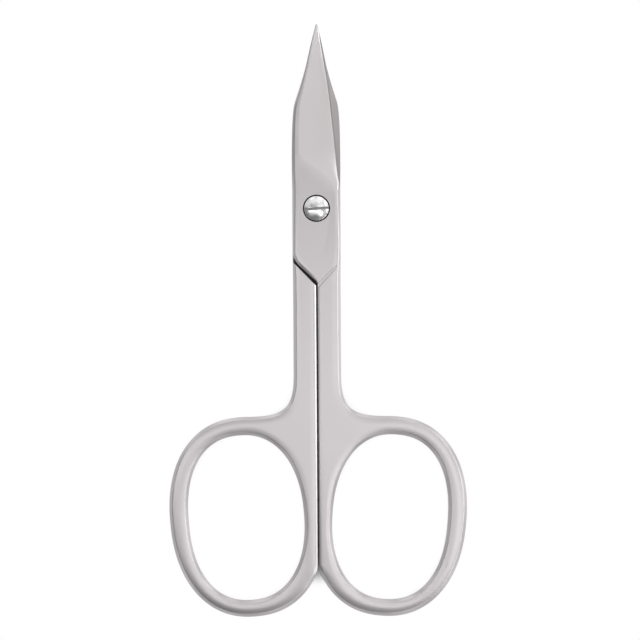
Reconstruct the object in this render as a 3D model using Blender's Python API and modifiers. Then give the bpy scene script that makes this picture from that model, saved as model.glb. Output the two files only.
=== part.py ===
# Manicure scissors: two lapped steel halves, each a blade and a finger ring, held by one slotted screw.
# Metres. The pivot is the Z axis, the tips point to +Y, and the closed scissors lie on z = 0.
# The front half has its handle on the right and lies over the back half at the joint.

import math

import bmesh
import bpy
from mathutils import Vector
from mathutils.geometry import interpolate_bezier

# Both halves
plate_thickness = 0.0030
lap_gap = 0.00005
handle_gap = 0.00028
edge_rounding = 0.00055
rounding_steps = 4

# Joint and shank, measured from the pivot
joint_half_width = 0.00365
shank_half_width = 0.00355
shank_taper_start = 0.0055
shank_taper_end = 0.0125
shoulder_outer_reach = 0.00815
shoulder_inner_reach = 0.01175
wedge_gap_outer = 0.00020
wedge_gap_inner = 0.00055
lap_corner_radius = 0.0032
bend_radius = 0.0009
mark_width = 0.00060
mark_depth = 0.00012

# Blade, measured from the pivot
blade_reach = 0.02795
grind_start = 0.0024
grind_end = 0.0079
cutting_edge_thickness = 0.00012
spine_land = 0.00045
tip_rounding_share = 0.15
hollow_grind = 0.00006
rise_start = 0.0055
tip_rise = 0.0022

# Finger ring
opening_width = 0.01733
opening_length = 0.02491
ring_reach = 0.04687
inner_bar_width = 0.00212
outer_bar_width = 0.00295
top_bar_width = 0.00289
bottom_bar_width = 0.00270
trimmed_bar_width = 0.00330
opening_lean = math.radians(4.4)
ring_lean = math.radians(5.2)
oval_fullness = 2.23
crotch_radius = 0.0012
shank_fillet_start = 0.0250
fillet_handle_shares = (0.78, 0.850)
oval_points = 72

# Pivot screw
head_radius = 0.0019
head_clearance = 0.00015
head_thickness = 0.00068
head_seat_gap = 0.00003
head_crown = 0.00020
head_edge_break = 0.00008
slot_width = 0.00048
slot_depth = 0.00040
slot_lean = math.radians(4.8)
bearing_radius = 0.00125
bearing_clearance = 0.00003
thread_radius = 0.0010
thread_clearance = 0.00002
tail_chamfer = 0.00015
turned_steps = 64

overrun = 0.0010
weld_distance = 0.000001

# Along the blade: share of its reach, then the shares of the joint's half width that lie on the spine
# side and on the cutting side, and the share of the layer's thickness left at the spine.
blade_shares = (
    (0.086, 1.000, 1.000, 1.00),
    (0.125, 1.003, 0.970, 1.00),
    (0.165, 1.008, 0.915, 1.00),
    (0.215, 1.012, 0.865, 1.00),
    (0.283, 1.012, 0.815, 1.00),
    (0.345, 1.006, 0.764, 0.97),
    (0.410, 0.996, 0.712, 0.93),
    (0.475, 0.978, 0.664, 0.88),
    (0.535, 0.940, 0.611, 0.82),
    (0.572, 0.887, 0.578, 0.78),
    (0.605, 0.797, 0.543, 0.74),
    (0.637, 0.716, 0.510, 0.70),
    (0.700, 0.572, 0.440, 0.62),
    (0.766, 0.431, 0.350, 0.53),
    (0.834, 0.317, 0.267, 0.44),
    (0.898, 0.214, 0.186, 0.36),
    (0.962, 0.104, 0.098, 0.29),
    (1.000, 0.030, 0.030, 0.25),
)

layer_thickness = plate_thickness / 2
inner_side = handle_gap / 2


def collection_named(name, hidden=False):
    found = bpy.data.collections.new(name)
    found.hide_render = hidden
    bpy.context.scene.collection.children.link(found)
    return found


def steel(name, color, roughness):
    made = bpy.data.materials.new(name)
    made.use_nodes = True
    shader = made.node_tree.nodes["Principled BSDF"]
    shader.inputs["Base Color"].default_value = (*color, 1)
    shader.inputs["Metallic"].default_value = 1
    shader.inputs["Roughness"].default_value = roughness
    made.diffuse_color = (*color, 1)
    return made


def object_of(name, mesh, collection, material=None):
    made = bpy.data.objects.new(name, mesh)
    collection.objects.link(made)
    if material:
        mesh.materials.append(material)
    return made


# Outlines


def oval_point(centre, half_width, half_length, lean, angle):
    """A point of a fullish oval whose top leans outward, counted from its outer side."""
    cosine, sine = math.cos(angle), math.sin(angle)
    across = half_width * math.copysign(abs(cosine) ** (2 / oval_fullness), cosine)
    along = half_length * math.copysign(abs(sine) ** (2 / oval_fullness), sine)
    return Vector(
        (
            centre.x + across * math.cos(lean) + along * math.sin(lean),
            centre.y - across * math.sin(lean) + along * math.cos(lean),
        )
    )


def rounded_corner(before, corner, after, radius, steps):
    """Points of the arc that rounds a corner between two straight runs."""
    back = (before - corner).normalized()
    ahead = (after - corner).normalized()
    half_angle = back.angle(ahead) / 2
    bisector = (back + ahead).normalized()
    centre = corner + bisector * (radius / math.sin(half_angle))
    start = corner + back * (radius / math.tan(half_angle)) - centre
    sweep = start.angle_signed(corner + ahead * (radius / math.tan(half_angle)) - centre)
    points = []
    for step in range(steps + 1):
        turn = -sweep * step / steps
        turned = Vector(
            (
                start.x * math.cos(turn) - start.y * math.sin(turn),
                start.x * math.sin(turn) + start.y * math.cos(turn),
            )
        )
        points.append(centre + turned)
    return points


def opening_centre():
    return Vector((inner_side + inner_bar_width + opening_width / 2, -ring_reach))


def opening_outline():
    centre = opening_centre()
    return [
        oval_point(centre, opening_width / 2, opening_length / 2, opening_lean, 2 * math.pi * n / oval_points)
        for n in range(oval_points)
    ]


def ring_point(angle):
    opening = opening_centre()
    centre = Vector(
        (
            opening.x + (outer_bar_width - trimmed_bar_width) / 2,
            opening.y + (top_bar_width - bottom_bar_width) / 2,
        )
    )
    half_width = (opening_width + outer_bar_width + trimmed_bar_width) / 2
    half_length = (opening_length + top_bar_width + bottom_bar_width) / 2
    return oval_point(centre, half_width, half_length, ring_lean, angle)


def crotch_angle():
    """Where the ring's outline leaves the straight gap between the handles, below the ring's middle."""
    low, high = math.pi, 1.5 * math.pi
    for _ in range(40):
        middle = (low + high) / 2
        if ring_point(middle).x < inner_side:
            low = middle
        else:
            high = middle
    return high


def highest_ring_angle():
    angles = [math.radians(60 + n / 2) for n in range(100)]
    return max(angles, key=lambda angle: ring_point(angle).y)


def shoulder_line():
    """The two ends of the step that faces the other half's lap, on this half's own handle side."""
    return (
        Vector((joint_half_width, -shoulder_outer_reach)),
        Vector((inner_side, -shoulder_inner_reach)),
    )


def lap_diagonal():
    """The free lower edge of the lap: the other half's shoulder, moved up by the wedge-shaped gap."""
    outer, inner = shoulder_line()
    outer = Vector((-outer.x, outer.y))
    inner = Vector((-inner.x, inner.y))
    run = (inner - outer).normalized()
    up = Vector((-run.y, run.x))
    return outer + up * wedge_gap_outer, inner + up * wedge_gap_inner


def at_x(line, x):
    a, b = line
    return Vector((x, a.y + (b.y - a.y) * (x - a.x) / (b.x - a.x)))


def half_outline(top):
    """The outline of one half up to the blade, from the top right, counterclockwise."""
    diagonal = lap_diagonal()
    lap_corner = at_x(diagonal, -joint_half_width)
    bend = at_x(diagonal, inner_side)
    left_top = Vector((-joint_half_width, top))
    crotch = ring_point(crotch_angle())
    crotch.x = inner_side
    below = ring_point(crotch_angle() + math.radians(6))
    summit_angle = highest_ring_angle()
    summit = ring_point(summit_angle)
    fillet_start = Vector((shank_half_width, -shank_fillet_start))
    fillet_corner = Vector((shank_half_width, summit.y))

    points = [Vector((joint_half_width, top)), left_top]
    points += rounded_corner(left_top, lap_corner, bend, lap_corner_radius, 8)
    points += rounded_corner(lap_corner, bend, crotch, bend_radius, 5)
    points += rounded_corner(bend, crotch, below, crotch_radius, 5)
    first = crotch_angle() + math.radians(12)
    last = summit_angle + 2 * math.pi
    for n in range(oval_points + 1):
        points.append(ring_point(first + (last - first) * n / oval_points))
    first_share, last_share = fillet_handle_shares
    fillet = interpolate_bezier(
        summit,
        summit.lerp(fillet_corner, last_share),
        fillet_start.lerp(fillet_corner, first_share),
        fillet_start,
        16,
    )
    points += [Vector((point.x, point.y)) for point in fillet[1:]]
    taper_start = Vector((joint_half_width, -shank_taper_start))
    taper_end = Vector((shank_half_width, -shank_taper_end))
    middle_y = (taper_start.y + taper_end.y) / 2
    taper = interpolate_bezier(
        taper_end,
        Vector((taper_end.x, middle_y)),
        Vector((taper_start.x, middle_y)),
        taper_start,
        7,
    )
    points += [Vector((point.x, point.y)) for point in taper]
    return points


# Solids


def flat_plate(outlines, low, high, rounding=0):
    """A closed mesh of flat outlines between two heights, its long edges rounded."""
    curve = bpy.data.curves.new("outline", "CURVE")
    curve.dimensions = "2D"
    curve.fill_mode = "BOTH"
    curve.extrude = (high - low) / 2 - rounding
    curve.bevel_depth = rounding
    curve.bevel_resolution = rounding_steps - 2
    curve.offset = -rounding
    for outline in outlines:
        spline = curve.splines.new("POLY")
        spline.points.add(len(outline) - 1)
        for point, place in zip(spline.points, outline):
            point.co = (place.x, place.y, 0, 1)
        spline.use_cyclic_u = True
    guide = bpy.data.objects.new("outline", curve)
    bpy.context.scene.collection.objects.link(guide)
    guide.location.z = (low + high) / 2
    bpy.context.view_layer.update()
    graph = bpy.context.evaluated_depsgraph_get()
    mesh = bpy.data.meshes.new_from_object(guide.evaluated_get(graph))
    mesh.transform(guide.matrix_world)
    bpy.data.objects.remove(guide)
    bpy.data.curves.remove(curve)
    shape = bmesh.new()
    shape.from_mesh(mesh)
    bmesh.ops.remove_doubles(shape, verts=shape.verts, dist=weld_distance)
    bmesh.ops.recalc_face_normals(shape, faces=shape.faces)
    shape.to_mesh(mesh)
    shape.free()
    return mesh


def cutter_of(name, mesh, cutters):
    cutter = object_of(name, mesh, cutters)
    cutter.hide_render = True
    cutter.display_type = "WIRE"
    return cutter


def round_cutter(name, radius, low, high, cutters):
    shape = bmesh.new()
    bmesh.ops.create_cone(
        shape, cap_ends=True, segments=turned_steps, radius1=radius, radius2=radius, depth=high - low
    )
    mesh = bpy.data.meshes.new(name)
    shape.to_mesh(mesh)
    shape.free()
    cutter = cutter_of(name, mesh, cutters)
    cutter.location.z = (low + high) / 2
    return cutter


def cut(target, cutter):
    modifier = target.modifiers.new(cutter.name, "BOOLEAN")
    modifier.operation = "DIFFERENCE"
    modifier.solver = "EXACT"
    modifier.object = cutter


def settled_mesh(target):
    """The target's mesh with its cuts made."""
    bpy.context.view_layer.update()
    graph = bpy.context.evaluated_depsgraph_get()
    return bpy.data.meshes.new_from_object(target.evaluated_get(graph))


def smooth_row(rows, place):
    """The row of shares at a place along the rows, on a curve that passes through each of them."""
    index = min(int(place), len(rows) - 2)
    t = place - index
    before = rows[max(index - 1, 0)]
    start, end = rows[index], rows[index + 1]
    after = rows[min(index + 2, len(rows) - 1)]
    return [
        b + (c - a) * t / 2 + (2 * a - 5 * b + 4 * c - d) * t**2 / 2 + (3 * b - a - 3 * c + d) * t**3 / 2
        for a, b, c, d in zip(before, start, end, after)
    ]


def rise_at(y):
    along = max(0, y - rise_start) / (blade_reach - rise_start)
    return tip_rise * along**2


def blade_place(start, row, upward):
    """Where a point of the joint's section lies in the blade's section at one row of shares."""
    reach_share, spine_share, edge_share, thickness_share = row
    y = reach_share * blade_reach
    spine = joint_half_width * spine_share
    edge = joint_half_width * edge_share
    top = layer_thickness * thickness_share
    low = lap_gap / 2
    rounding_share = tip_rounding_share + (1 - tip_rounding_share) * spine_share
    rounding = edge_rounding * rounding_share
    ground = min(1, max(0, (y - grind_start) / (grind_end - grind_start)))
    land_end = -spine + rounding + spine_land * spine_share
    flat_half = joint_half_width - edge_rounding
    if start.z < low + weld_distance:
        across = (start.x + joint_half_width) / (2 * joint_half_width)
        x = -spine + (spine + edge) * across
        z = low + hollow_grind * 4 * across * (1 - across) * ground
    elif start.x < -flat_half:
        x = -spine + (start.x + joint_half_width) * rounding_share
        z = top - (layer_thickness - start.z) * rounding_share
    elif start.x <= flat_half:
        across = (start.x + flat_half) / (2 * flat_half)
        flat_end = (edge - rounding) * (1 - ground) + land_end * ground
        x = -spine + rounding + (flat_end + spine - rounding) * across
        z = top
    else:
        down = math.atan2(start.x - flat_half, edge_rounding - layer_thickness + start.z) / (math.pi / 2)
        x = edge - (joint_half_width - start.x) * rounding_share
        z = top - (layer_thickness - start.z) * rounding_share
        x += (land_end + (edge - land_end) * down - x) * ground
        z += (top + (cutting_edge_thickness - top) * down - z) * ground
    return Vector((x, y, z + upward * rise_at(y)))


def grow_blade(mesh, upward):
    """Draws the joint's cut end out into the blade, section by section."""
    shape = bmesh.new()
    shape.from_mesh(mesh)
    bmesh.ops.dissolve_limit(
        shape, angle_limit=math.radians(0.05), verts=shape.verts[:], edges=shape.edges[:]
    )
    bmesh.ops.bisect_plane(
        shape,
        geom=shape.verts[:] + shape.edges[:] + shape.faces[:],
        plane_co=(0, blade_shares[0][0] * blade_reach, 0),
        plane_no=(0, 1, 0),
        clear_outer=True,
    )
    inner_edges = [
        edge
        for edge in shape.edges
        if edge.is_boundary and max(vert.co.z for vert in edge.verts) < lap_gap / 2 + weld_distance
    ]
    bmesh.ops.subdivide_edges(shape, edges=inner_edges, cuts=3)
    rim = [edge for edge in shape.edges if edge.is_boundary]
    loop = [rim[0].verts[0], rim[0].verts[1]]
    while len(loop) < len(rim):
        for edge in loop[-1].link_edges:
            other = edge.other_vert(loop[-1])
            if edge.is_boundary and other is not loop[-2]:
                loop.append(other)
                break
    starts = [vert.co.copy() for vert in loop]
    halvings = 2
    last = halvings * (len(blade_shares) - 1)
    for step in range(1, last + 1):
        row = smooth_row(blade_shares, step / halvings)
        section = [shape.verts.new(blade_place(start, row, upward)) for start in starts]
        for n in range(len(loop)):
            m = (n + 1) % len(loop)
            shape.faces.new((loop[n], loop[m], section[m], section[n]))
        loop = section
    shape.faces.new(loop)
    bmesh.ops.recalc_face_normals(shape, faces=shape.faces)
    shape.to_mesh(mesh)
    shape.free()


def half_mesh(name, upward, cutters):
    """One half, lying with its lap face at z = 0 and its handle at +X."""
    top = blade_shares[0][0] * blade_reach + 2 * edge_rounding
    plate = flat_plate(
        [half_outline(top), opening_outline()], -layer_thickness, layer_thickness, edge_rounding
    )
    blank = object_of(name + "_blank", plate, cutters)
    outer, inner = shoulder_line()
    line = (outer, inner)
    beyond = at_x(line, joint_half_width + overrun)
    lap_outline = [
        beyond,
        Vector((beyond.x, top + overrun)),
        Vector((-beyond.x, top + overrun)),
        Vector((-beyond.x, inner.y)),
        at_x(line, inner.x),
    ]
    lap = flat_plate([lap_outline], -layer_thickness - overrun, lap_gap / 2)
    cut(blank, cutter_of(name + "_lap", lap, cutters))
    mark_end = Vector((shank_half_width - edge_rounding, 0))
    mark_end.y = at_x(line, mark_end.x).y
    mark_outline = [
        mark_end,
        Vector((inner.x - overrun, at_x(line, inner.x - overrun).y + mark_width / 2)),
        Vector((inner.x - overrun, at_x(line, inner.x - overrun).y - mark_width / 2)),
    ]
    mark = flat_plate([mark_outline], layer_thickness - mark_depth, layer_thickness + overrun)
    cut(blank, cutter_of(name + "_mark", mark, cutters))
    mesh = settled_mesh(blank)
    bpy.data.objects.remove(blank)
    grow_blade(mesh, upward)
    mesh.name = name
    return mesh


def turned(name, profile, collection, material):
    """A solid turned about Z from a profile that runs from the top of its axis down to the bottom."""
    mesh = bpy.data.meshes.new(name)
    shape = bmesh.new()
    verts = [shape.verts.new((radius, 0, z)) for radius, z in profile]
    for a, b in zip(verts, verts[1:]):
        shape.edges.new((a, b))
    shape.to_mesh(mesh)
    shape.free()
    made = object_of(name, mesh, collection, material)
    screw = made.modifiers.new("turn", "SCREW")
    screw.steps = turned_steps
    screw.render_steps = turned_steps
    screw.use_merge_vertices = True
    screw.merge_threshold = weld_distance
    return made


def pivot_screw(collection, cutters, material):
    seat = plate_thickness - head_thickness
    rim_height = plate_thickness - head_edge_break
    crown_steps = 8
    crown_radius = head_radius - head_edge_break
    profile = []
    for step in range(crown_steps):
        radius = crown_radius * step / crown_steps
        profile.append((radius, plate_thickness + head_crown * (1 - (step / crown_steps) ** 2)))
    profile += [
        (crown_radius, plate_thickness),
        (head_radius, rim_height),
        (head_radius, seat + head_seat_gap),
        (bearing_radius, seat + head_seat_gap),
        (bearing_radius, layer_thickness),
        (thread_radius, layer_thickness),
        (thread_radius, tail_chamfer),
        (thread_radius - tail_chamfer, 0),
        (0, 0),
    ]
    screw = turned("pivot_screw", profile, collection, material)
    shape = bmesh.new()
    bmesh.ops.create_cube(shape, size=1)
    mesh = bpy.data.meshes.new("screw_slot")
    shape.to_mesh(mesh)
    shape.free()
    slot = cutter_of("screw_slot", mesh, cutters)
    slot_floor = plate_thickness - slot_depth
    slot_height = slot_depth + head_crown + overrun
    slot.scale = (2 * (head_radius + overrun), slot_width, slot_height)
    slot.location.z = slot_floor + slot_height / 2
    slot.rotation_euler.z = slot_lean
    cut(screw, slot)
    return screw


def main():
    for found in list(bpy.data.objects):
        bpy.data.objects.remove(found)
    scissors = collection_named("manicure_scissors")
    cutters = collection_named("cutters", hidden=True)
    satin = steel("satin_stainless_steel", (0.58, 0.56, 0.565), 0.38)
    polished = steel("polished_stainless_steel", (0.80, 0.80, 0.80), 0.10)

    front = object_of("front_half", half_mesh("front", 1, cutters), scissors, satin)
    back = object_of("back_half", half_mesh("back", -1, cutters), scissors, satin)
    front.location.z = layer_thickness
    back.location.z = layer_thickness
    back.rotation_euler.y = math.pi

    head_seat = round_cutter(
        "head_seat",
        head_radius + head_clearance,
        plate_thickness - head_thickness,
        plate_thickness + overrun,
        cutters,
    )
    bearing_bore = round_cutter(
        "bearing_bore", bearing_radius + bearing_clearance, -overrun, plate_thickness + overrun, cutters
    )
    thread_bore = round_cutter(
        "thread_bore", thread_radius + thread_clearance, -overrun, plate_thickness + overrun, cutters
    )
    cut(front, bearing_bore)
    cut(front, head_seat)
    cut(back, thread_bore)
    screw = pivot_screw(scissors, cutters, polished)

    for part in (front, back, screw):
        part.data.shade_smooth()
        part.data.set_sharp_from_angle(angle=math.radians(30))


main()
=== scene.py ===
import math

import bmesh
import bpy
from mathutils import Matrix, Vector
from mathutils.geometry import interpolate_bezier
from mathutils.kdtree import KDTree


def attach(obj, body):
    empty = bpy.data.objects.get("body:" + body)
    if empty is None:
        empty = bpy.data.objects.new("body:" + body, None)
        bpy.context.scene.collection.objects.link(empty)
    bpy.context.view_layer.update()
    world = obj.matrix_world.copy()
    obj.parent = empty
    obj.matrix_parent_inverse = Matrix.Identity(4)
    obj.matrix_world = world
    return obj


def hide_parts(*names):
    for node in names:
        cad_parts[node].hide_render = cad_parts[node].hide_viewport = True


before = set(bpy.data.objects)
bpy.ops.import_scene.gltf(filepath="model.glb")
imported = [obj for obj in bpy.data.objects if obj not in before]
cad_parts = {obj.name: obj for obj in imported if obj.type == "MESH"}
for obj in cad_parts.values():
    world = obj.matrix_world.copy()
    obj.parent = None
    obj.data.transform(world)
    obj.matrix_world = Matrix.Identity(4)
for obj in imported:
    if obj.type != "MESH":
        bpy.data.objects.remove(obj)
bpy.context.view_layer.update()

# Sizes below are in millimetres. Pieces are drawn in them and then brought to metres.
mm = 0.001

# the photograph's view: from straight above
cameraSetup = {
    "imageSize": 640,          # pixels
    "pixelsPerMm": 6.571,      # of the photograph, at the object
    "distance": 1200,          # a long lens, far off
    "fromLeft": 0.54,          # degrees off the face's normal
    "fromBelow": 0.77,
    "roll": 0.36,
    "target": (0.0, -17.0, 1.5),
    "targetPixel": (317.0, 320.25),
    "sensor": 36.0,
    "clipStart": 100,
    "clipEnd": 10000,
}


def makeCamera(setup):
    left, below, roll = (math.radians(setup[key]) for key in ("fromLeft", "fromBelow", "roll"))
    ahead = Vector((
        math.sin(left) * math.cos(below),
        math.sin(below),
        -math.cos(left) * math.cos(below),
    ))
    right = Vector((math.cos(left), 0, math.sin(left)))
    up = right.cross(ahead)
    turnedRight = right * math.cos(roll) + up * -math.sin(roll)
    turnedUp = right * math.sin(roll) + up * math.cos(roll)
    shown = setup["imageSize"] / setup["pixelsPerMm"]      # millimetres across the picture
    data = bpy.data.cameras.new("photoCamera")
    data.sensor_width = setup["sensor"]
    data.lens = setup["sensor"] * setup["distance"] / shown
    middle = setup["imageSize"] / 2
    data.shift_x = (middle - setup["targetPixel"][0]) / setup["imageSize"]
    data.shift_y = (setup["targetPixel"][1] - middle) / setup["imageSize"]
    data.clip_start = setup["clipStart"] * mm
    data.clip_end = setup["clipEnd"] * mm
    camera = bpy.data.objects.new("photoCamera", data)
    bpy.context.scene.collection.objects.link(camera)
    camera.location = (Vector(setup["target"]) - ahead * setup["distance"]) * mm
    camera.rotation_mode = "QUATERNION"
    turned = Matrix((turnedRight, turnedUp, -ahead)).transposed()
    camera.rotation_quaternion = turned.to_quaternion()
    bpy.context.scene.camera = camera


makeCamera(cameraSetup)
print("camera placed")


# Small tools for the modelling

levelNormal = 0.9          # a face is level where its normal's Z is more than this
smoothAngle = math.radians(30)
rodCorners = 96


def only(obj):
    bpy.ops.object.select_all(action="DESELECT")
    obj.select_set(True)
    bpy.context.view_layer.objects.active = obj


def edit(obj, kind="FACE"):
    only(obj)
    bpy.ops.object.mode_set(mode="EDIT")
    bpy.ops.mesh.select_mode(type=kind)


def leave():
    bpy.ops.object.mode_set(mode="OBJECT")


def selectAll():
    bpy.ops.mesh.select_all(action="SELECT")


def turnOutwards():
    selectAll()
    bpy.ops.mesh.normals_make_consistent(inside=False)


# moves what is selected up, or extrudes it
def lift(distance):
    bpy.ops.transform.translate(value=(0, 0, distance))


def extrudeUp(distance):
    bpy.ops.mesh.extrude_region_move(TRANSFORM_OT_translate={"value": (0, 0, distance)})


def applyPlace():
    bpy.ops.object.transform_apply(location=True, rotation=True, scale=True)


# selects the verts, edges or faces that pass a test, in edit mode
def pick(obj, kind, test):
    mesh = bmesh.from_edit_mesh(obj.data)
    bpy.ops.mesh.select_all(action="DESELECT")
    for item in getattr(mesh, kind):
        if test(item):
            item.select_set(True)
    bmesh.update_edit_mesh(obj.data)


# the level faces that look up, with side 1, or down, with side -1
def pickLevel(obj, side):
    pick(obj, "faces", lambda face: face.normal.z * side > levelNormal)


# a circle whose points are then laid along an outline
def drawOutline(name, points, height):
    bpy.ops.mesh.primitive_circle_add(vertices=len(points), radius=10, location=(0, 0, 0))
    line = bpy.context.object
    line.name = name
    for vert, place in zip(line.data.vertices, points):
        vert.co = (place.x, place.y, height)
    return line


# a cylinder along Z, drawn from its lower to its upper end
def drawRod(name, radius, low, high):
    bpy.ops.mesh.primitive_cylinder_add(
        vertices=rodCorners, radius=radius, depth=high - low, location=(0, 0, (low + high) / 2)
    )
    rod = bpy.context.object
    rod.name = name
    applyPlace()
    return rod


def join(first, other):
    only(first)
    other.select_set(True)
    bpy.ops.object.join()


def cutWith(target, cutter):
    only(target)
    modifier = target.modifiers.new("cut", "BOOLEAN")
    modifier.operation = "DIFFERENCE"
    modifier.solver = "EXACT"
    modifier.object = cutter
    bpy.ops.object.modifier_apply(modifier=modifier.name)
    bpy.data.objects.remove(cutter)


def copyOf(obj, name):
    twin = obj.copy()
    twin.data = obj.data.copy()
    twin.name = name
    bpy.context.scene.collection.objects.link(twin)
    return twin


# from millimetres to metres, with the size settled in the mesh
def settle(obj):
    only(obj)
    obj.scale = (mm, mm, mm)
    applyPlace()
    bpy.ops.object.shade_smooth_by_angle(angle=smoothAngle)


# The two halves are one blank. The back one is turned over.

half = {
    "thickness": 3.0,
    "lapGap": 0.05,            # between the two laps
    "handleGap": 0.28,         # between the handles' straight inner sides
    "jointHalfWidth": 3.65,
    "shankHalfWidth": 3.60,
    "taperStart": 5.5,         # below the screw, where the joint's side leads over to the shank's
    "taperEnd": 12.5,
    "taperSteps": 16,
    "shoulderOuter": 8.15,     # below the screw, where the shoulder meets the joint's side
    "shoulderInner": 11.75,    # and where it meets the gap between the handles
    "shoulderBreak": 0.07,     # its sharp edge is broken by this
    "wedgeGapOuter": 0.28,     # between the shoulder and the lap's lower edge, at their two ends
    "wedgeGapInner": 0.55,
    "lapCornerRadius": 3.2,
    "lapCornerSteps": 18,
    "bendRadius": 0.9,         # from the lap's lower edge into the gap between the handles
    "bendSteps": 10,
    # the softly ground edge: distance in from the side, and the slope there in degrees
    "edgeSlopes": (
        (0, 65), (0.02, 43), (0.43, 41), (0.50, 15), (0.66, 11), (0.80, 7), (0.94, 3),
    ),
    "edgeLines": (
        0, 0.008, 0.02, 0.035, 0.15, 0.28, 0.40, 0.43,
        0.455, 0.48, 0.505, 0.56, 0.65, 0.74, 0.84, 0.94,
    ),
    "steepWidth": 0.45,        # of its steep part
    "flatInset": 0.02,         # a narrow strip inside the edge keeps the flat's shading flat
    "flatAngle": math.radians(0.05),      # faces that turn less than this are one flat
    # along the lap's diagonal and the gap between the handles: crisp on the face that the front
    # half shows, softer on the one that the back half shows
    "crispEdgeSlopes": ((0, 40), (0.06, 20), (0.14, 8), (0.25, 0)),
    "softEdgeSlopes": ((0, 45), (0.05, 25), (0.15, 20), (0.30, 12), (0.60, 4), (0.90, 1)),
    "lapCornerFade": 2.2,      # how far this takes to come in, from the lap's side
    "crotchFade": 2.0,         # and to go again, where the gap between the handles ends
    "crownWidth": 1.36,        # how far in the rounding runs on the handles
    "crownMargin": 0.08,       # and what stays flat in the middle of a narrow bar, at least
    "crownTop": -9.0,          # all of it is there below this,
    "crownFade": 3.0,          # and it fades out over this much above
    "outlineTrace": 0.4,       # the outline's points are at most this far apart, to shape its edge
    "jointEdgeShare": 0.5,     # beside the joint the steep part narrows to this share
    "jointEdgeMiddle": -4.0,   # most of all here
    "jointEdgeReach": 7.0,     # and not at all this far above and below
    # a shallow wedge-shaped step
    "markWidth": 0.36,         # across its floor, where it starts
    "markEndWidth": 0.20,
    "markEndMargin": 0.1,      # between its end and the edge's steep part
    "markDepth": 0.12,
    "markWalls": (0.20, 0.09),      # how wide its lower and upper walls lean
}

finger = {
    "openingWidth": 17.57,
    "openingLength": 25.09,
    "reach": 46.96,            # from the screw to the opening's middle
    "innerBar": 2.01,
    "outerBar": 2.815,
    "topBar": 2.775,
    "bottomBar": 2.519,
    "trimmedBar": 3.19,        # the inner bar, before the gap between the handles trims it
    "openingLean": math.radians(4.4),
    "ringLean": math.radians(5.2),
    "fullness": 2.23,          # 2 would be an ellipse
    "openingOuterFullness": 2.33,
    "points": 180,             # round the opening and round the ring
    "summitSearch": (60, 0.25, 200),      # for the ring's highest point: first degree, step, tries
    "crotchRadius": 4.0,       # where the ring leaves the gap between the handles
    "crotchSteps": 10,
    "crotchAim": math.radians(6),         # its arc heads for this far on along the ring
    "crotchEnd": math.radians(12),        # and the ring is drawn from here
    "filletStart": 25.0,       # below the screw, where the shank widens towards the ring
    "filletHandleShares": (0.78, 0.85),
    "filletSteps": 40,
}

blade = {
    "reach": 27.95,            # from the screw to the tip
    "blankSpare": 3.0,         # the blank is drawn this much longer than the joint, and cut off
    "grindStart": 1.8,         # the ground face's edge leaves the cutting side here
    "grindEnd": 8.8,           # and reaches the spine here
    "edgeThickness": 0.03,
    "faceSlope": math.radians(9),
    "bevelWidth": 0.12,        # of the steep cutting bevel below the ground face
    "bevelFade": 3,            # it narrows towards the tip, where the spine's share is under 1 / 3
    "bevelLine": 0.035,        # the edge line that becomes the bevel's upper side
    "leastLand": 0.02,         # what stays flat between the spine's edge and the ground face,
    "spineLand": 0.08,         # and how much more where the blade is widest
    "spineFlattening": 0.32,   # the spine's edge gets this much lower along the ground face
    "tipRoundingShare": 0.08,  # what the tip keeps of the edge's rounding
    "hollow": 0.12,            # of the inner face, at its middle
    "riseStart": 5.5,          # from here on the blade curves up towards the viewer,
    "tipRise": 2.274,          # by this much at the tip
    "tipLean": 0.18,           # towards the right, seen from the front
    "stationsPerRow": 4,       # sections drawn for each row of the table below
    "flatRun": 3.0,            # edges across the joint that are longer than this are cut up
    "flatCuts": 10,
}

# Along the blade: share of its reach, spine side and cutting side as shares of the joint's half
# width, and the share of the layer's thickness left at the spine
bladeRows = (
    (0.086, 1.000, 1.000, 1.00),
    (0.125, 1.003, 0.970, 1.00),
    (0.165, 1.008, 0.915, 1.00),
    (0.215, 1.012, 0.880, 1.00),
    (0.283, 1.012, 0.840, 1.00),
    (0.345, 1.006, 0.795, 0.97),
    (0.410, 0.996, 0.745, 0.93),
    (0.475, 0.978, 0.692, 0.88),
    (0.535, 0.940, 0.640, 0.82),
    (0.572, 0.892, 0.608, 0.78),
    (0.605, 0.815, 0.576, 0.74),
    (0.637, 0.735, 0.544, 0.70),
    (0.700, 0.587, 0.474, 0.62),
    (0.766, 0.446, 0.380, 0.53),
    (0.834, 0.330, 0.285, 0.43),
    (0.898, 0.222, 0.186, 0.34),
    (0.962, 0.104, 0.098, 0.25),
    (1.000, 0.030, 0.030, 0.20),
)

screw = {
    "headRadius": 1.9,
    "headClearance": 0.15,
    "headThickness": 0.68,     # from the halves' face down to the seat
    "seatGap": 0.03,
    "seatBreak": 0.04,         # the seat's rim is broken by this
    "crown": 0.34,
    "crownRings": 16,
    "lastRingShare": 0.999,    # of a ring's width, so that a small face closes the middle
    "sink": 0.14,              # how far its rim lies below the face
    "edgeBreak": 0.08,
    "edgeBreakSteps": 4,
    "slotWidth": 0.48,
    "slotDepth": 0.40,
    "slotWallLean": 0.20,      # how far in its upper wall leans
    "slotLean": math.radians(4.8),
    "bearingRadius": 1.25,
    "bearingClearance": 0.03,
    "threadRadius": 1.0,
    "threadClearance": 0.02,
    "tailChamfer": 0.15,
}

layer = half["thickness"] / 2          # of each half at the joint
innerSide = half["handleGap"] / 2      # of a handle, from the middle
edgeWidth = half["edgeLines"][-1]
bladeStart = bladeRows[0][0] * blade["reach"]
blankTop = bladeStart + blade["blankSpare"]
beyond = 1.0               # cutters run on past what they cut
hair = 0.001               # less than any real step in height


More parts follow.
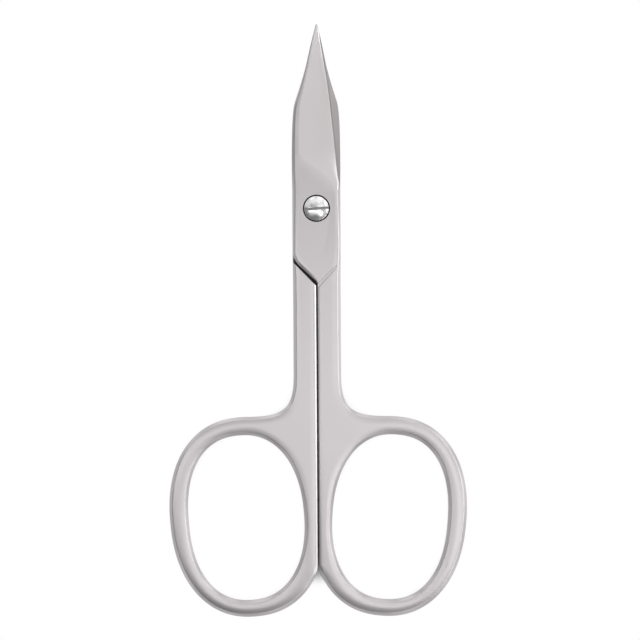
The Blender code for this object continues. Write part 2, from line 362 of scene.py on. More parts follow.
# a point of a fullish oval whose top leans outward, counted from its outer side
def ovalPoint(centre, halfWidth, halfLength, lean, angle, outerFullness):
    cosine, sine = math.cos(angle), math.sin(angle)
    fullness = outerFullness if cosine > 0 else finger["fullness"]
    across = halfWidth * math.copysign(abs(cosine) ** (2 / fullness), cosine)
    along = halfLength * math.copysign(abs(sine) ** (2 / fullness), sine)
    return Vector((
        centre.x + across * math.cos(lean) + along * math.sin(lean),
        centre.y - across * math.sin(lean) + along * math.cos(lean),
    ))


# the arc that rounds the corner between two straight runs
def roundedCorner(before, corner, after, radius, steps):
    back = (before - corner).normalized()
    ahead = (after - corner).normalized()
    halfAngle = back.angle(ahead) / 2
    centre = corner + (back + ahead).normalized() * (radius / math.sin(halfAngle))
    start = corner + back * (radius / math.tan(halfAngle)) - centre
    sweep = start.angle_signed(corner + ahead * (radius / math.tan(halfAngle)) - centre)
    points = []
    for step in range(steps + 1):
        turn = -sweep * step / steps
        points.append(centre + Vector((
            start.x * math.cos(turn) - start.y * math.sin(turn),
            start.x * math.sin(turn) + start.y * math.cos(turn),
        )))
    return points


def openingCentre():
    return Vector((innerSide + finger["innerBar"] + finger["openingWidth"] / 2, -finger["reach"]))


def openingOutline():
    width, length = finger["openingWidth"] / 2, finger["openingLength"] / 2
    lean, fullness = finger["openingLean"], finger["openingOuterFullness"]
    turns = [2 * math.pi * n / finger["points"] for n in range(finger["points"])]
    return [ovalPoint(openingCentre(), width, length, lean, turn, fullness) for turn in turns]


def ringPoint(angle):
    opening = openingCentre()
    centre = Vector((
        opening.x + (finger["outerBar"] - finger["trimmedBar"]) / 2,
        opening.y + (finger["topBar"] - finger["bottomBar"]) / 2,
    ))
    width = (finger["openingWidth"] + finger["outerBar"] + finger["trimmedBar"]) / 2
    length = (finger["openingLength"] + finger["topBar"] + finger["bottomBar"]) / 2
    return ovalPoint(centre, width, length, finger["ringLean"], angle, finger["fullness"])


# where the ring leaves the straight gap between the handles, below its middle
def crotchAngle():
    low, high = math.pi, 1.5 * math.pi
    halvings = 40
    for _ in range(halvings):
        middle = (low + high) / 2
        if ringPoint(middle).x < innerSide:
            low = middle
        else:
            high = middle
    return high


# where a straight line reaches a given x
def atX(line, x):
    a, b = line
    return Vector((x, a.y + (b.y - a.y) * (x - a.x) / (b.x - a.x)))


# the handle's shoulder, under the other half's lap, from the joint's side to the gap
def shoulderLine():
    return (
        Vector((half["jointHalfWidth"], -half["shoulderOuter"])),
        Vector((innerSide, -half["shoulderInner"])),
    )


# the lap's free lower edge: the other half's shoulder, moved up by the wedge-shaped gap
def lapDiagonal():
    outer, inner = (Vector((-point.x, point.y)) for point in shoulderLine())
    run = (inner - outer).normalized()
    up = Vector((-run.y, run.x))
    return outer + up * half["wedgeGapOuter"], inner + up * half["wedgeGapInner"]


# a Bezier curve in the plane, from a to d
def curvePoints(a, b, c, d, count):
    return [Vector((point.x, point.y)) for point in interpolate_bezier(a, b, c, d, count)]


# one half's outline up to the blade, from the top right, counterclockwise
def halfOutline():
    width, shank = half["jointHalfWidth"], half["shankHalfWidth"]
    diagonal = lapDiagonal()
    lapCorner = atX(diagonal, -width)
    bend = atX(diagonal, innerSide)
    leftTop = Vector((-width, blankTop))
    angle = crotchAngle()
    crotch = ringPoint(angle)
    crotch.x = innerSide
    onRing = ringPoint(angle + finger["crotchAim"])
    degrees, step, tries = finger["summitSearch"]
    turns = [math.radians(degrees + step * n) for n in range(tries)]
    highest = max(turns, key=lambda turn: ringPoint(turn).y)
    summit = ringPoint(highest)
    filletStart = Vector((shank, -finger["filletStart"]))
    filletCorner = Vector((shank, summit.y))
    firstShare, lastShare = finger["filletHandleShares"]

    points = [Vector((width, blankTop)), leftTop]
    points += roundedCorner(
        leftTop, lapCorner, bend, half["lapCornerRadius"], half["lapCornerSteps"]
    )
    points += roundedCorner(lapCorner, bend, crotch, half["bendRadius"], half["bendSteps"])
    points += roundedCorner(bend, crotch, onRing, finger["crotchRadius"], finger["crotchSteps"])
    first, last = angle + finger["crotchEnd"], highest + 2 * math.pi
    count = finger["points"]
    points += [ringPoint(first + (last - first) * n / count) for n in range(count + 1)]
    points += curvePoints(
        summit, summit.lerp(filletCorner, lastShare),
        filletStart.lerp(filletCorner, firstShare), filletStart, finger["filletSteps"],
    )[1:]
    taperStart = Vector((width, -half["taperStart"]))
    taperEnd = Vector((shank, -half["taperEnd"]))
    middle = (taperStart.y + taperEnd.y) / 2
    points += curvePoints(
        taperEnd, Vector((taperEnd.x, middle)),
        Vector((taperStart.x, middle)), taperStart, half["taperSteps"],
    )
    return points


# how high the edge stands above its foot, at a distance in from the side
def edgeRise(inward, slopes=half["edgeSlopes"]):
    rise = 0
    pieces = 12      # of the sum, for each stretch between two slopes
    for (near, steep), (far, flat) in zip(slopes, slopes[1:]):
        run = max(0, min(inward, far) - near)
        for n in range(pieces):
            share = run / (far - near) * (n + 0.5) / pieces
            rise += math.tan(math.radians(steep + (flat - steep) * share)) * run / pieces
    return rise


edgeHeight = edgeRise(edgeWidth)


# finds the nearest point of an outline
def nearestTo(line):
    points = []
    for before, after in zip(line, line[1:] + line[:1]):
        parts = math.ceil((after - before).length / half["outlineTrace"])
        points += [before.lerp(after, n / parts) for n in range(parts)]
    tree = KDTree(len(points))
    for index, point in enumerate(points):
        tree.insert((point.x, point.y, 0), index)
    tree.balance()
    return tree


# shapes the edge: crisp where the halves meet, narrower beside the joint, and on the handles the
# rounding runs on further in, as far as a bar's width lets it
def shapeEdge(blank):
    outside, opening = nearestTo(halfOutline()), nearestTo(openingOutline())
    steep = half["steepWidth"]
    crotch = ringPoint(crotchAngle())
    for vert in bmesh.from_edit_mesh(blank.data).verts:
        flatPlace = Vector((vert.co.x, vert.co.y, 0))
        own, other = outside, opening
        if opening.find(flatPlace)[2] < outside.find(flatPlace)[2]:
            own, other = opening, outside
        foot, _, inward = own.find(flatPlace)
        # crisp to the right of the lap's side, above the crotch and up to the middle of the bar
        crisp = 0
        if foot.x < innerSide + finger["innerBar"] / 2:
            aboveCrotch = max(0, (foot.y - crotch.y) / half["crotchFade"] + 0.5)
            fromSide = (foot.x + half["jointHalfWidth"]) / half["lapCornerFade"]
            crisp = min(1, fromSide, aboveCrotch)
        slopes = half["crispEdgeSlopes" if vert.co.z > 0 else "softEdgeSlopes"]
        height = layer - edgeRise(edgeWidth, slopes) + edgeRise(inward, slopes)
        vert.co.z += (math.copysign(height, vert.co.z) - vert.co.z) * crisp
        # beside the joint the steep part is narrower and lower
        offMiddle = min(1, abs(vert.co.y - half["jointEdgeMiddle"]) / half["jointEdgeReach"])
        narrowed = (1 - half["jointEdgeShare"]) * (1 - offMiddle**2) ** 2
        vert.co += (foot - flatPlace).normalized() * (min(inward, steep) * narrowed)
        lowered = (edgeRise(steep) - edgeRise(min(inward, steep))) * (1 - crisp)
        vert.co.z += math.copysign(lowered * narrowed, vert.co.z)
        if inward < steep:
            continue
        # on the handles the rest of the rounding is wider
        fade = (half["crownTop"] + half["crownFade"] - vert.co.y) / half["crownFade"]
        fade = min(1, max(0, fade))
        room = other.find(foot)[2] / 2 - half["crownMargin"]
        farthest = max(edgeWidth, min(half["crownWidth"], room))
        grown = (farthest - steep) / (edgeWidth - steep) - 1
        further = (inward - steep) * grown * fade * (1 - crisp)
        vert.co += (flatPlace - foot).normalized() * further
    bmesh.update_edit_mesh(blank.data)


# the flat blank with its finger opening and softly rounded edges, its middle at z = 0
def makeBlank(name):
    wall = layer - edgeHeight
    blank = drawOutline(name, halfOutline(), -wall)
    join(blank, drawOutline("opening", openingOutline(), -wall))
    edit(blank, "EDGE")
    selectAll()
    bpy.ops.mesh.fill(use_beauty=True)
    selectAll()
    extrudeUp(2 * wall)
    turnOutwards()
    bpy.ops.mesh.dissolve_limited(angle_limit=half["flatAngle"])
    bpy.ops.mesh.select_mode(type="FACE")
    places = half["edgeLines"]
    for side in (1, -1):
        pickLevel(blank, side)
        for near, far in zip(places, places[1:]):
            bpy.ops.mesh.inset(thickness=far - near, depth=0, use_even_offset=True)
            lift(side * (edgeRise(far) - edgeRise(near)))
        bpy.ops.mesh.inset(thickness=half["flatInset"], depth=0, use_even_offset=False)
    shapeEdge(blank)
    leave()
    return blank


# the lower layer is taken away above the shoulder, whose edge is broken
def cutLap(blank):
    line = shoulderLine()
    outer = atX(line, half["jointHalfWidth"] + beyond)
    inner = line[1]
    outline = [
        outer,
        Vector((outer.x, blankTop + beyond)),
        Vector((-outer.x, blankTop + beyond)),
        Vector((-outer.x, inner.y)),
        inner,
    ]
    cutter = drawOutline("lapCutter", outline, half["lapGap"] / 2)
    edit(cutter)
    selectAll()
    bpy.ops.mesh.edge_face_add()
    extrudeUp(half["shoulderBreak"] - layer - half["lapGap"] / 2)
    extrudeUp(-beyond)
    turnOutwards()
    # the last stretch leans out by 45 degrees
    pickLevel(cutter, -1)
    run = (line[0] - line[1]).normalized()
    bpy.ops.transform.translate(value=(run.y * beyond, -run.x * beyond, 0))
    leave()
    cutWith(blank, cutter)


# a shallow wedge-shaped step with sloping walls carries the shoulder's line on, on the other face
def cutMark(blank):
    line = shoulderLine()
    start = atX(line, innerSide - beyond)
    end = atX(line, half["shankHalfWidth"] - half["steepWidth"] - half["markEndMargin"])
    along = (end - start).normalized()
    up = Vector((-along.y, along.x))
    depth, walls = half["markDepth"], half["markWalls"]
    runOn = 1 + beyond / depth      # the walls run on above the face
    corners = []
    for height, share in ((layer - depth, 0), (layer + beyond, runOn)):
        for place, width, reach in (
            (start, half["markWidth"], 0),
            (end, half["markEndWidth"], walls[1] * share),
        ):
            for sign, wall in zip((-1, 1), walls):
                point = place + up * (sign * (width / 2 + wall * share)) + along * reach
                corners.append((point.x, point.y, height))
    bpy.ops.mesh.primitive_cube_add(size=1, location=(0, 0, 0))
    cutter = bpy.context.object
    cutter.name = "markCutter"
    # the cube's corners are sorted by height, then along the mark, then across it
    ordered = sorted(cutter.data.vertices, key=lambda vert: (vert.co.z, vert.co.x, vert.co.y))
    for vert, corner in zip(ordered, corners):
        vert.co = corner
    edit(cutter)
    turnOutwards()
    leave()
    cutWith(blank, cutter)


# the row of shares at a place along the rows, on a curve that passes through each of them
def smoothRow(place):
    index = min(int(place), len(bladeRows) - 2)
    t = place - index
    before = bladeRows[max(index - 1, 0)]
    start, end = bladeRows[index], bladeRows[index + 1]
    after = bladeRows[min(index + 2, len(bladeRows) - 1)]
    return [
        b + (c - a) * t / 2 + (2 * a - 5 * b + 4 * c - d) * t**2 / 2
        + (3 * b - a - 3 * c + d) * t**3 / 2
        for a, b, c, d in zip(before, start, end, after)
    ]


# how far along its curved part a place on the blade lies
def bentShare(y):
    return max(0, y - blade["riseStart"]) / (blade["reach"] - blade["riseStart"])


def riseAt(y):
    return blade["tipRise"] * bentShare(y) ** 2


# how far round the rounding a line lies, from 0 at the flat to 1 at the side
def edgeTurn(inward):
    return math.atan2(1 - inward / edgeWidth, edgeRise(inward) / edgeHeight) / (math.pi / 2)


# where a point of the joint's section lies in the blade's section at one row of shares
def bladePlace(start, row, upward):
    reachShare, spineShare, edgeShare, thicknessShare = row
    width = half["jointHalfWidth"]
    y = reachShare * blade["reach"]
    spine, edge = width * spineShare, width * edgeShare
    top = layer * thicknessShare
    low = half["lapGap"] / 2
    # the edge's rounding gets smaller with the blade
    roundingShare = blade["tipRoundingShare"] + (1 - blade["tipRoundingShare"]) * spineShare
    # how much of the grinding there is here, on a smooth step
    ground = (y - blade["grindStart"]) / (blade["grindEnd"] - blade["grindStart"])
    ground = min(1, max(0, ground))
    ground = ground * ground * (3 - 2 * ground)
    flatHalf = width - edgeWidth
    flatStart = -spine + edgeWidth * roundingShare
    landEnd = flatStart + blade["leastLand"] + blade["spineLand"] * spineShare
    # the line at which the ground face leaves the flat
    flatEnd = edge - edgeWidth * roundingShare
    flatEnd += (landEnd - flatEnd) * ground
    if start.z < low + hair:
        # the inner face, hollow ground to a parabola
        across = (start.x + width) / (2 * width)
        x = -spine + (spine + edge) * across
        z = low + blade["hollow"] * 4 * across * (1 - across) * ground
    elif start.x < -flatHalf:
        x = -spine + (start.x + width) * roundingShare
        z = top - (layer - start.z) * roundingShare * (1 - blade["spineFlattening"] * ground)
    elif start.x <= flatHalf:
        across = (start.x + flatHalf) / (2 * flatHalf)
        x = flatStart + (flatEnd - flatStart) * across
        z = top
    else:
        # the rounding's lines spread over the ground face, and the last ones over the bevel
        inward = width - start.x
        bevel = blade["bevelWidth"] * min(1, blade["bevelFade"] * spineShare)
        down = edgeTurn(inward) / edgeTurn(blade["bevelLine"])
        groundX = flatEnd + (edge - bevel - flatEnd) * down
        onBevel = max(0, 1 - inward / blade["bevelLine"])
        if onBevel > 0:
            groundX = edge - bevel * (1 - onBevel)
        x = edge - inward * roundingShare
        x += (groundX - x) * ground
        # the rounding, as far as the grinding has left it
        rounded = edgeHeight - edgeRise(min(edgeWidth, (edge - x) / roundingShare))
        rounded = rounded * roundingShare * (1 - ground)
        z = top - max(rounded, math.tan(blade["faceSlope"]) * (x - flatEnd))
        z -= (z - blade["edgeThickness"]) * onBevel * ground
        z = max(z, blade["edgeThickness"])
    x += upward * blade["tipLean"] * bentShare(y) ** 2
    return Vector((x, y, z + upward * riseAt(y)))


# draws the joint's cut end out into the blade, station by station
def growBlade(piece, upward):
    bpy.ops.mesh.select_mode(type="EDGE")
    pick(piece, "edges", lambda edge: edge.is_boundary
         and abs(edge.verts[0].co.x - edge.verts[1].co.x) > blade["flatRun"])
    bpy.ops.mesh.subdivide(number_cuts=blade["flatCuts"])
    pick(piece, "edges", lambda edge: edge.is_boundary)
    mesh = bmesh.from_edit_mesh(piece.data)
    startLayer = mesh.verts.layers.float_vector.new("start")
    for vert in mesh.verts:
        vert[startLayer] = vert.co
    stations = blade["stationsPerRow"] * (len(bladeRows) - 1)
    for station in range(1, stations + 1):
        row = smoothRow(station / blade["stationsPerRow"])
        bpy.ops.mesh.extrude_edges_move()
        mesh = bmesh.from_edit_mesh(piece.data)
        startLayer = mesh.verts.layers.float_vector["start"]
        for vert in mesh.verts:
            if vert.select:
                vert.co = bladePlace(vert[startLayer], row, upward)
        bmesh.update_edit_mesh(piece.data)
    bpy.ops.mesh.edge_face_add()
    turnOutwards()
    leave()
    piece.data.attributes.remove(piece.data.attributes["start"])


# the screw's sunken seat and plain bore in the front half, and the threaded bore in the back one
def drillHalves(front, back, setup):
    seatFloor = layer - setup["headThickness"]
    seatRadius = setup["headRadius"] + setup["headClearance"]
    seat = drawRod("seatCutter", seatRadius, seatFloor, layer - setup["seatBreak"])
    edit(seat)
    pickLevel(seat, 1)
    # the seat's rim is broken at 45 degrees
    extrudeUp(beyond)
    grown = (seatRadius + beyond) / seatRadius
    bpy.ops.transform.resize(value=(grown, grown, 1))
    leave()
    cutWith(front, seat)
    bearing = setup["bearingRadius"] + setup["bearingClearance"]
    cutWith(front, drawRod("bearingCutter", bearing, -beyond, layer))
    thread = setup["threadRadius"] + setup["threadClearance"]
    cutWith(back, drawRod("threadCutter", thread, -layer - beyond, beyond))


frontHalf = makeBlank("frontHalf")
cutLap(frontHalf)
cutMark(frontHalf)
backHalf = copyOf(frontHalf, "backHalf")
drillHalves(frontHalf, backHalf, screw)
print("blanks cut and drilled")

for piece, upward in ((frontHalf, 1), (backHalf, -1)):
    edit(piece)
    selectAll()
    bpy.ops.mesh.bisect(plane_co=(0, bladeStart, 0), plane_no=(0, 1, 0), clear_outer=True)
    growBlade(piece, upward)
    piece.location.z = layer
backHalf.rotation_euler.y = math.pi
for piece in (frontHalf, backHalf):
    only(piece)
    applyPlace()
print("blades drawn out")


# The screw: a crowned slotted head in its seat, a plain neck and a plain end

def makeScrew(setup):
    thickness = half["thickness"]
    head, bearing, thread = setup["headRadius"], setup["bearingRadius"], setup["threadRadius"]
    seat = thickness - setup["headThickness"] + setup["seatGap"]
    edgeBreak, rimSteps = setup["edgeBreak"], setup["edgeBreakSteps"]
    piece = drawRod("pivotScrew", head, seat, thickness - setup["sink"] - edgeBreak)
    edit(piece)
    pickLevel(piece, 1)
    # a broken edge, then the crown in rings
    for step in range(rimSteps):
        near, far = (math.pi / 2 * (step + n) / rimSteps for n in (0, 1))
        bpy.ops.mesh.inset(thickness=edgeBreak * (math.cos(near) - math.cos(far)), depth=0)
        lift(edgeBreak * (math.sin(far) - math.sin(near)))
    rings = setup["crownRings"]
    ringWidth = (head - edgeBreak) / rings
    for step in range(rings):
        near, far = step / rings, (step + 1) / rings
        share = setup["lastRingShare"] if step == rings - 1 else 1
        bpy.ops.mesh.inset(thickness=ringWidth * share, depth=0)
        lift(((1 - near) ** 2 - (1 - far) ** 2) * setup["crown"])
    # neck and end, downwards
    pickLevel(piece, -1)
    bpy.ops.mesh.inset(thickness=head - bearing, depth=0)
    extrudeUp(layer - seat)
    bpy.ops.mesh.inset(thickness=bearing - thread, depth=0)
    extrudeUp(setup["tailChamfer"] - layer)
    extrudeUp(-setup["tailChamfer"])
    narrowed = 1 - setup["tailChamfer"] / thread
    bpy.ops.transform.resize(value=(narrowed, narrowed, 1))
    leave()

    slotFloor = thickness - setup["slotDepth"]
    bpy.ops.mesh.primitive_cube_add(size=1, location=(0, 0, slotFloor + beyond / 2))
    slot = bpy.context.object
    # its upper wall leans, so that it shows as a dark line
    for vert in slot.data.vertices:
        if vert.co.y > 0 and vert.co.z < 0:
            vert.co.y -= setup["slotWallLean"] / setup["slotWidth"]
    slot.scale = (3 * head, setup["slotWidth"], beyond)      # it runs out past the head
    slot.rotation_euler.z = setup["slotLean"]
    applyPlace()
    cutWith(piece, slot)
    return piece


pivotScrew = makeScrew(screw)
for piece in (frontHalf, backHalf, pivotScrew):
    settle(piece)
print("screw made")


# Materials

# an sRGB hex colour as Blender's linear one, with its alpha
def linear(hexColor):
    values = [int(hexColor[n:n + 2], 16) / 255 for n in (1, 3, 5)]
    return [v / 12.92 if v <= 0.04045 else ((v + 0.055) / 1.055) ** 2.4 for v in values] + [1]


# Adds a node with its settings. Its inputs are set, or linked to a socket or to a node's first
# output. An input is named as in Blender, with _ for a space, or n and its number.
def addNode(tree, kind, settings=None, **inputs):
    node = tree.nodes.new(kind)
    for key, value in (settings or {}).items():
        setattr(node, key, value)
    for key, value in inputs.items():
        numbered = key[0] == "n" and key[1:].isdigit()
        socket = node.inputs[int(key[1:]) if numbered else key.replace("_", " ")]
        if isinstance(value, bpy.types.Node):
            value = value.outputs[0]
        if isinstance(value, bpy.types.NodeSocket):
            tree.links.new(value, socket)
        else:
            socket.default_value = value
    return node


def newMaterial(name):
    material = bpy.data.materials.new(name)
    material.use_nodes = True
    material.node_tree.nodes.clear()
    return material, material.node_tree


def wear(piece, *materials):
    piece.data.materials.clear()
    for material in materials:
        piece.data.materials.append(material)


satin = {
    "color": "#C8C4C5",
    "roughness": 0.33,
    "roughnessSpread": 0.02,
    "patchSize": 5.0,          # millimetres, of the slight changes in sheen
    "grainSize": (0.25, 0.25, 0.25),      # the real grain is near 0.02 and would only flicker
    "grainDepth": 0.0006,
}

inner = {
    "color": "#A8A4A4",
    "roughness": 0.33,
    "roughnessSpread": 0.04,
    "patchSize": 1.5,
    "grainSize": (0.9, 0.10, 0.9),        # scratches run across the blade
    "grainDepth": 0.0018,
    "facing": 0.8,             # how squarely such a face looks at the other half, at least
}

polished = {
    "color": "#ECEBEC",
    "roughness": 0.20,
    "ringPitch": 0.10,         # turning marks, a few times coarser than real ones
    "ringDepth": 0.0001,
}

# Painted shade: a near black, dull colour put where the corners and crevices lie in shadow, so that
# it swallows the reflections there
paintedShade = {
    "color": "#1B1918",
    "roughness": 0.45,
    "slotShare": 0.6,          # how much it darkens the screw's rim and slot
    "rimDepth": 0.08,          # over which it comes in there
    "footStart": (0.15, 0.05),      # inside the shoulder, from unshaded to dark
    "footWidth": 0.75,         # how far from the shoulder's foot it lies on the lap
    "footSoftness": 0.3,       # and over how much it fades there
    "startDepth": 0.2,         # below the faces, where it begins
    "fullDepth": 0.45,
    "seamLength": 2.0,         # how far it runs down the gap between the handles
    "seamSides": (1.6, 1.2),   # shares of half the gap, from unshaded to dark
    "seamTop": 1.0,            # it starts this far above the bend
    "seatDepth": 0.01,         # what lies this far below the faces, by the screw, is in its seat
    "seatShares": (1, 1 / 3),  # of the seat's broken edge, from unshaded to dark
}


# where shade is painted in, near black: along the foot of the shoulder and round the screw's head
def paintedShadeMask(tree, place):
    soft = {"interpolation_type": "SMOOTHSTEP"}
    absolute, subtract = {"operation": "ABSOLUTE"}, {"operation": "SUBTRACT"}
    times, larger, under = ({"operation": name} for name in ("MULTIPLY", "MAXIMUM", "LESS_THAN"))
    axes = addNode(tree, "ShaderNodeSeparateXYZ", Vector=place).outputs
    # both halves have the same strip, as seen from their own side
    x = addNode(tree, "ShaderNodeMath", absolute, n0=axes["X"])
    fromMiddle = addNode(tree, "ShaderNodeMath", subtract, n0=axes["Z"], n1=layer * mm)
    fromMiddle = addNode(tree, "ShaderNodeMath", absolute, n0=fromMiddle)
    deep = addNode(tree, "ShaderNodeMapRange", soft, Value=fromMiddle,
                   From_Min=(layer - paintedShade["startDepth"]) * mm,
                   From_Max=(layer - paintedShade["fullDepth"]) * mm)
    # distance from the shoulder, along the lap
    outer, bend = shoulderLine()
    run = (outer - bend).normalized()
    across = Vector((-run.y, run.x, 0))
    distance = addNode(tree, "ShaderNodeCombineXYZ", X=x, Y=axes["Y"])
    distance = addNode(tree, "ShaderNodeVectorMath", {"operation": "DOT_PRODUCT"},
                       n0=distance, n1=across).outputs["Value"]
    start = (across.x * bend.x + across.y * bend.y) * mm
    unshaded, dark = paintedShade["footStart"]
    foot = addNode(tree, "ShaderNodeMapRange", soft, Value=distance,
                   From_Min=start - unshaded * mm, From_Max=start - dark * mm)
    far = addNode(tree, "ShaderNodeMapRange", soft, Value=distance,
                  From_Min=start + paintedShade["footWidth"] * mm,
                  From_Max=start + (paintedShade["footWidth"] - paintedShade["footSoftness"]) * mm)
    side = addNode(tree, "ShaderNodeMapRange", soft, Value=x,
                   From_Min=half["jointHalfWidth"] * mm,
                   From_Max=(half["jointHalfWidth"] - paintedShade["footSoftness"]) * mm)
    strip = addNode(tree, "ShaderNodeMath", times, n0=foot, n1=far)
    strip = addNode(tree, "ShaderNodeMath", times, n0=strip, n1=side)
    # and on a little way into the gap between the handles
    unshaded, dark = paintedShade["seamSides"]
    seam = addNode(tree, "ShaderNodeMapRange", soft, Value=x,
                   From_Min=unshaded * innerSide * mm, From_Max=dark * innerSide * mm)
    below = addNode(tree, "ShaderNodeMapRange", soft, Value=axes["Y"],
                    From_Min=(bend.y - paintedShade["seamLength"]) * mm, From_Max=bend.y * mm)
    above = addNode(tree, "ShaderNodeMath", under, n0=axes["Y"], n1=(bend.y + paintedShade["seamTop"]) * mm)
    seam = addNode(tree, "ShaderNodeMath", times, n0=seam, n1=below)
    seam = addNode(tree, "ShaderNodeMath", times, n0=seam, n1=above)
    strip = addNode(tree, "ShaderNodeMath", larger, n0=strip, n1=seam)
    strip = addNode(tree, "ShaderNodeMath", times, n0=strip, n1=deep)
    # the seat round the screw's head
    flatPlace = addNode(tree, "ShaderNodeCombineXYZ", X=axes["X"], Y=axes["Y"])
    radius = addNode(tree, "ShaderNodeVectorMath", {"operation": "LENGTH"}, n0=flatPlace)
    seatRadius = screw["headRadius"] + screw["headClearance"]
    unshaded, dark = (seatRadius + screw["seatBreak"] * share for share in paintedShade["seatShares"])
    seat = addNode(tree, "ShaderNodeMapRange", soft, Value=radius.outputs["Value"],
                   From_Min=unshaded * mm, From_Max=dark * mm)
    sunk = addNode(tree, "ShaderNodeMath", under, n0=fromMiddle, n1=(layer - paintedShade["seatDepth"]) * mm)
    seat = addNode(tree, "ShaderNodeMath", times, n0=seat, n1=sunk)
    return addNode(tree, "ShaderNodeMath", larger, n0=strip, n1=seat)


# steel with painted shade where the mask says so, and a fine relief
def finishSteel(tree, setup, mask, roughness, relief, depth):
    tone = addNode(tree, "ShaderNodeMix", {"data_type": "RGBA"}, Factor=mask,
                   n6=linear(setup["color"]), n7=linear(paintedShade["color"])).outputs[2]
    sheen = addNode(tree, "ShaderNodeMix", Factor=mask, A=roughness, B=paintedShade["roughness"])
    bare = addNode(tree, "ShaderNodeMath", {"operation": "SUBTRACT"}, n0=1.0, n1=mask)
    bump = addNode(tree, "ShaderNodeBump", Height=relief, Distance=depth * mm)
    shader = addNode(tree, "ShaderNodeBsdfPrincipled",
                     Base_Color=tone, Roughness=sheen, Metallic=bare, Normal=bump)
    addNode(tree, "ShaderNodeOutputMaterial", Surface=shader)


# ground steel: soft patches in its sheen, and its grain as a relief
def makeGroundSteel(name, setup):
    material, tree = newMaterial(name)
    place = addNode(tree, "ShaderNodeTexCoord").outputs["Object"]
    patches = addNode(tree, "ShaderNodeTexNoise", Vector=place,
                      Scale=1 / (setup["patchSize"] * mm), Detail=3)
    roughness = addNode(tree, "ShaderNodeMapRange", Value=patches,
                        To_Min=setup["roughness"] - setup["roughnessSpread"],
                        To_Max=setup["roughness"] + setup["roughnessSpread"])
    stretched = addNode(tree, "ShaderNodeMapping", Vector=place,
                        Scale=[1 / (size * mm) for size in setup["grainSize"]])
    grain = addNode(tree, "ShaderNodeTexNoise", Vector=stretched, Scale=1, Detail=2)
    # the painted shade lies in the corners and gaps, as the mask gives them
    finishSteel(tree, setup, paintedShadeMask(tree, place), roughness, grain, setup["grainDepth"])
    return material


# Turned and polished stainless steel: bright, with clear reflections and faint turning rings.
# Its rim and slot are painted dark, as shade in the gap round the head and in the slot.
def makePolishedSteel(setup):
    material, tree = newMaterial("polishedTurnedStainlessSteel")
    place = addNode(tree, "ShaderNodeTexCoord").outputs["Object"]
    height = addNode(tree, "ShaderNodeSeparateXYZ", Vector=place).outputs["Z"]
    rim = half["thickness"] - screw["sink"] - screw["edgeBreak"]
    # painted shade: below the rim's broken edge, in the seat's gap and in the slot, the colour
    # darkens
    mask = addNode(tree, "ShaderNodeMapRange", {"interpolation_type": "SMOOTHSTEP"}, Value=height,
                   From_Min=rim * mm, From_Max=(rim - paintedShade["rimDepth"]) * mm,
                   To_Max=paintedShade["slotShare"])
    # at a scale of 1 Blender's rings are pi / 10 apart
    rings = addNode(tree, "ShaderNodeTexWave", {"wave_type": "RINGS", "rings_direction": "Z"},
                    Vector=place, Scale=math.pi / 10 / (setup["ringPitch"] * mm)).outputs["Fac"]
    finishSteel(tree, setup, mask, setup["roughness"], rings, setup["ringDepth"])
    return material


# Forged martensitic stainless steel, satin ground: a soft, even, slightly warm grey sheen that
# blurs what it reflects
satinSteel = makeGroundSteel("satinGroundStainlessSteel", satin)
# The hollow inner faces, ground on the wheel, with a trace of scratches across the blade; their
# tone is set darker than the satin faces'
innerSteel = makeGroundSteel("wheelGroundStainlessSteel", inner)
wear(pivotScrew, makePolishedSteel(polished))
for piece, side in ((frontHalf, -1), (backHalf, 1)):
    wear(piece, satinSteel, innerSteel)
    for face in piece.data.polygons:
        aboveLap = face.center.z / mm - layer - riseAt(face.center.y / mm)
        nearLap = abs(aboveLap) < blade["hollow"] + half["lapGap"]
        if face.normal.z * side > inner["facing"] and nearLap:
            face.material_index = 1
print("steel made")


# Studio

studio = {
    "floorSize": 4000,
    "floorDrop": 0.02,         # below the scissors, so that their faces don't flicker with it
    "sideHeight": 200,
    "white": "#FFFFFF",        # as seen and mirrored
    "paperColor": "#E7E7E7",   # as it lights the scissors
    "shadowReach": 3.0,        # how far the floor's shadow looks for the scissors
    "shadowSamples": 8,
    "shadowDark": 0.15,        # openness at which the floor is black
    "shadowLight": (0.44, 0.95),      # and at which it is white, seen and mirrored
    "worldStrength": 0.167,
    "domeRadius": 220,
    "domeMiddle": (0, -17, 0),
    # soft round lamps on a dome: degrees from the zenith, degrees from +X, diameter, watts
    "lamps": (
        (0, 0, 49, 0.0033),
        (10, 0, 49, 0.0082),
        (10, 60, 49, 0.0026),
        (10, 180, 49, 0.0075),
        (10, 240, 49, 0.0050),
        (10, 300, 49, 0.0052),
        (21, 36, 60, 0.0080),
        (21, 72, 60, 0.0043),
        (21, 108, 60, 0.0034),
        (21, 180, 60, 0.0164),
        (21, 216, 60, 0.0035),
        (21, 324, 60, 0.0209),
        (36, 0, 88, 0.0064),
        (36, 36, 88, 0.0096),
        (36, 72, 88, 0.0171),
        (36, 108, 88, 0.0144),
        (36, 144, 88, 0.0121),
        (52, 0, 110, 0.1021),
        (52, 36, 110, 0.0511),
        (52, 72, 110, 0.0118),
        (52, 108, 110, 0.0122),
        (52, 288, 110, 0.0379),
        (52, 324, 110, 0.0460),
        (70, 0, 126, 0.0334),
        (70, 36, 126, 0.0440),
        (70, 72, 126, 0.0403),
        (70, 108, 126, 0.0432),
        (70, 144, 126, 0.0313),
        (70, 180, 126, 0.0149),
        (70, 216, 126, 0.0212),
        (70, 252, 126, 0.0114),
        (70, 288, 126, 0.0142),
        (70, 324, 126, 0.0307),
    ),
}


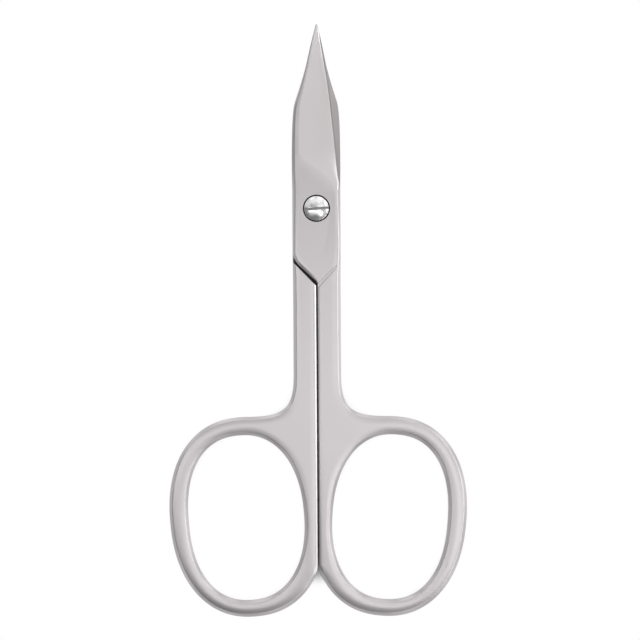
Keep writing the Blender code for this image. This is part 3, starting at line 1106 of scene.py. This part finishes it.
def makeFloor(setup):
    place = (0, 0, -setup["floorDrop"] * mm)
    bpy.ops.mesh.primitive_plane_add(size=setup["floorSize"] * mm, location=place)
    floor = bpy.context.object
    floor.name = "floor"
    # its sides turn up, so that a low view looks over no edge
    edit(floor, "EDGE")
    selectAll()
    upwards = {"value": (0, 0, setup["sideHeight"] * mm)}
    bpy.ops.mesh.extrude_edges_move(TRANSFORM_OT_translate=upwards)
    leave()
    # white paper: plain white to the eye, with a soft shadow only close under the scissors
    material, tree = newMaterial("whitePaper")
    light = addNode(tree, "ShaderNodeLightPath").outputs
    openness = addNode(tree, "ShaderNodeAmbientOcclusion", {"samples": setup["shadowSamples"]},
                       Distance=setup["shadowReach"] * mm).outputs["AO"]
    # a reflection sees more of the shadow under the scissors than the eye does
    shown, mirrored = setup["shadowLight"]
    brightEnd = addNode(tree, "ShaderNodeMix", Factor=light["Is Camera Ray"], A=mirrored, B=shown)
    shade = addNode(tree, "ShaderNodeMapRange", {"interpolation_type": "SMOOTHSTEP"},
                    Value=openness, From_Min=setup["shadowDark"], From_Max=brightEnd)
    white = addNode(tree, "ShaderNodeEmission", Color=linear(setup["white"]), Strength=shade)
    paper = addNode(tree, "ShaderNodeBsdfDiffuse", Color=linear(setup["paperColor"]))
    larger = {"operation": "MAXIMUM"}
    seen = addNode(tree, "ShaderNodeMath", larger,
                   n0=light["Is Camera Ray"], n1=light["Is Glossy Ray"])
    seen = addNode(tree, "ShaderNodeMath", larger, n0=seen, n1=light["Is Transmission Ray"])
    mix = addNode(tree, "ShaderNodeMixShader", n0=seen, n1=paper, n2=white)
    addNode(tree, "ShaderNodeOutputMaterial", Surface=mix)
    wear(floor, material)


def makeWorld(setup):
    world = bpy.data.worlds.new("studio")
    bpy.context.scene.world = world
    world.use_nodes = True
    tree = world.node_tree
    tree.nodes.clear()
    back = addNode(tree, "ShaderNodeBackground",
                   Color=linear(setup["white"]), Strength=setup["worldStrength"])
    addNode(tree, "ShaderNodeOutputWorld", Surface=back)


def makeLamps(setup):
    middle = Vector(setup["domeMiddle"])
    for number, (polar, azimuth, diameter, watts) in enumerate(setup["lamps"]):
        tilt, turn = math.radians(polar), math.radians(azimuth)
        level = math.sin(tilt)
        outward = Vector((level * math.cos(turn), level * math.sin(turn), math.cos(tilt)))
        data = bpy.data.lights.new(f"softLamp{number}", "AREA")
        data.shape = "DISK"
        data.size = diameter * mm
        data.energy = watts
        lamp = bpy.data.objects.new(f"softLamp{number}", data)
        bpy.context.scene.collection.objects.link(lamp)
        lamp.location = (middle + outward * setup["domeRadius"]) * mm
        lamp.rotation_euler = outward.to_track_quat("Z", "Y").to_euler()
        lamp.visible_camera = False


makeFloor(studio)
makeWorld(studio)
makeLamps(studio)
bpy.context.scene.view_settings.view_transform = "Standard"
print("studio set")

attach(frontHalf, "front")
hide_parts("front_half")
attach(backHalf, "back")
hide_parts("back_half")
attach(pivotScrew, "back")
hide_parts("pivot_screw")
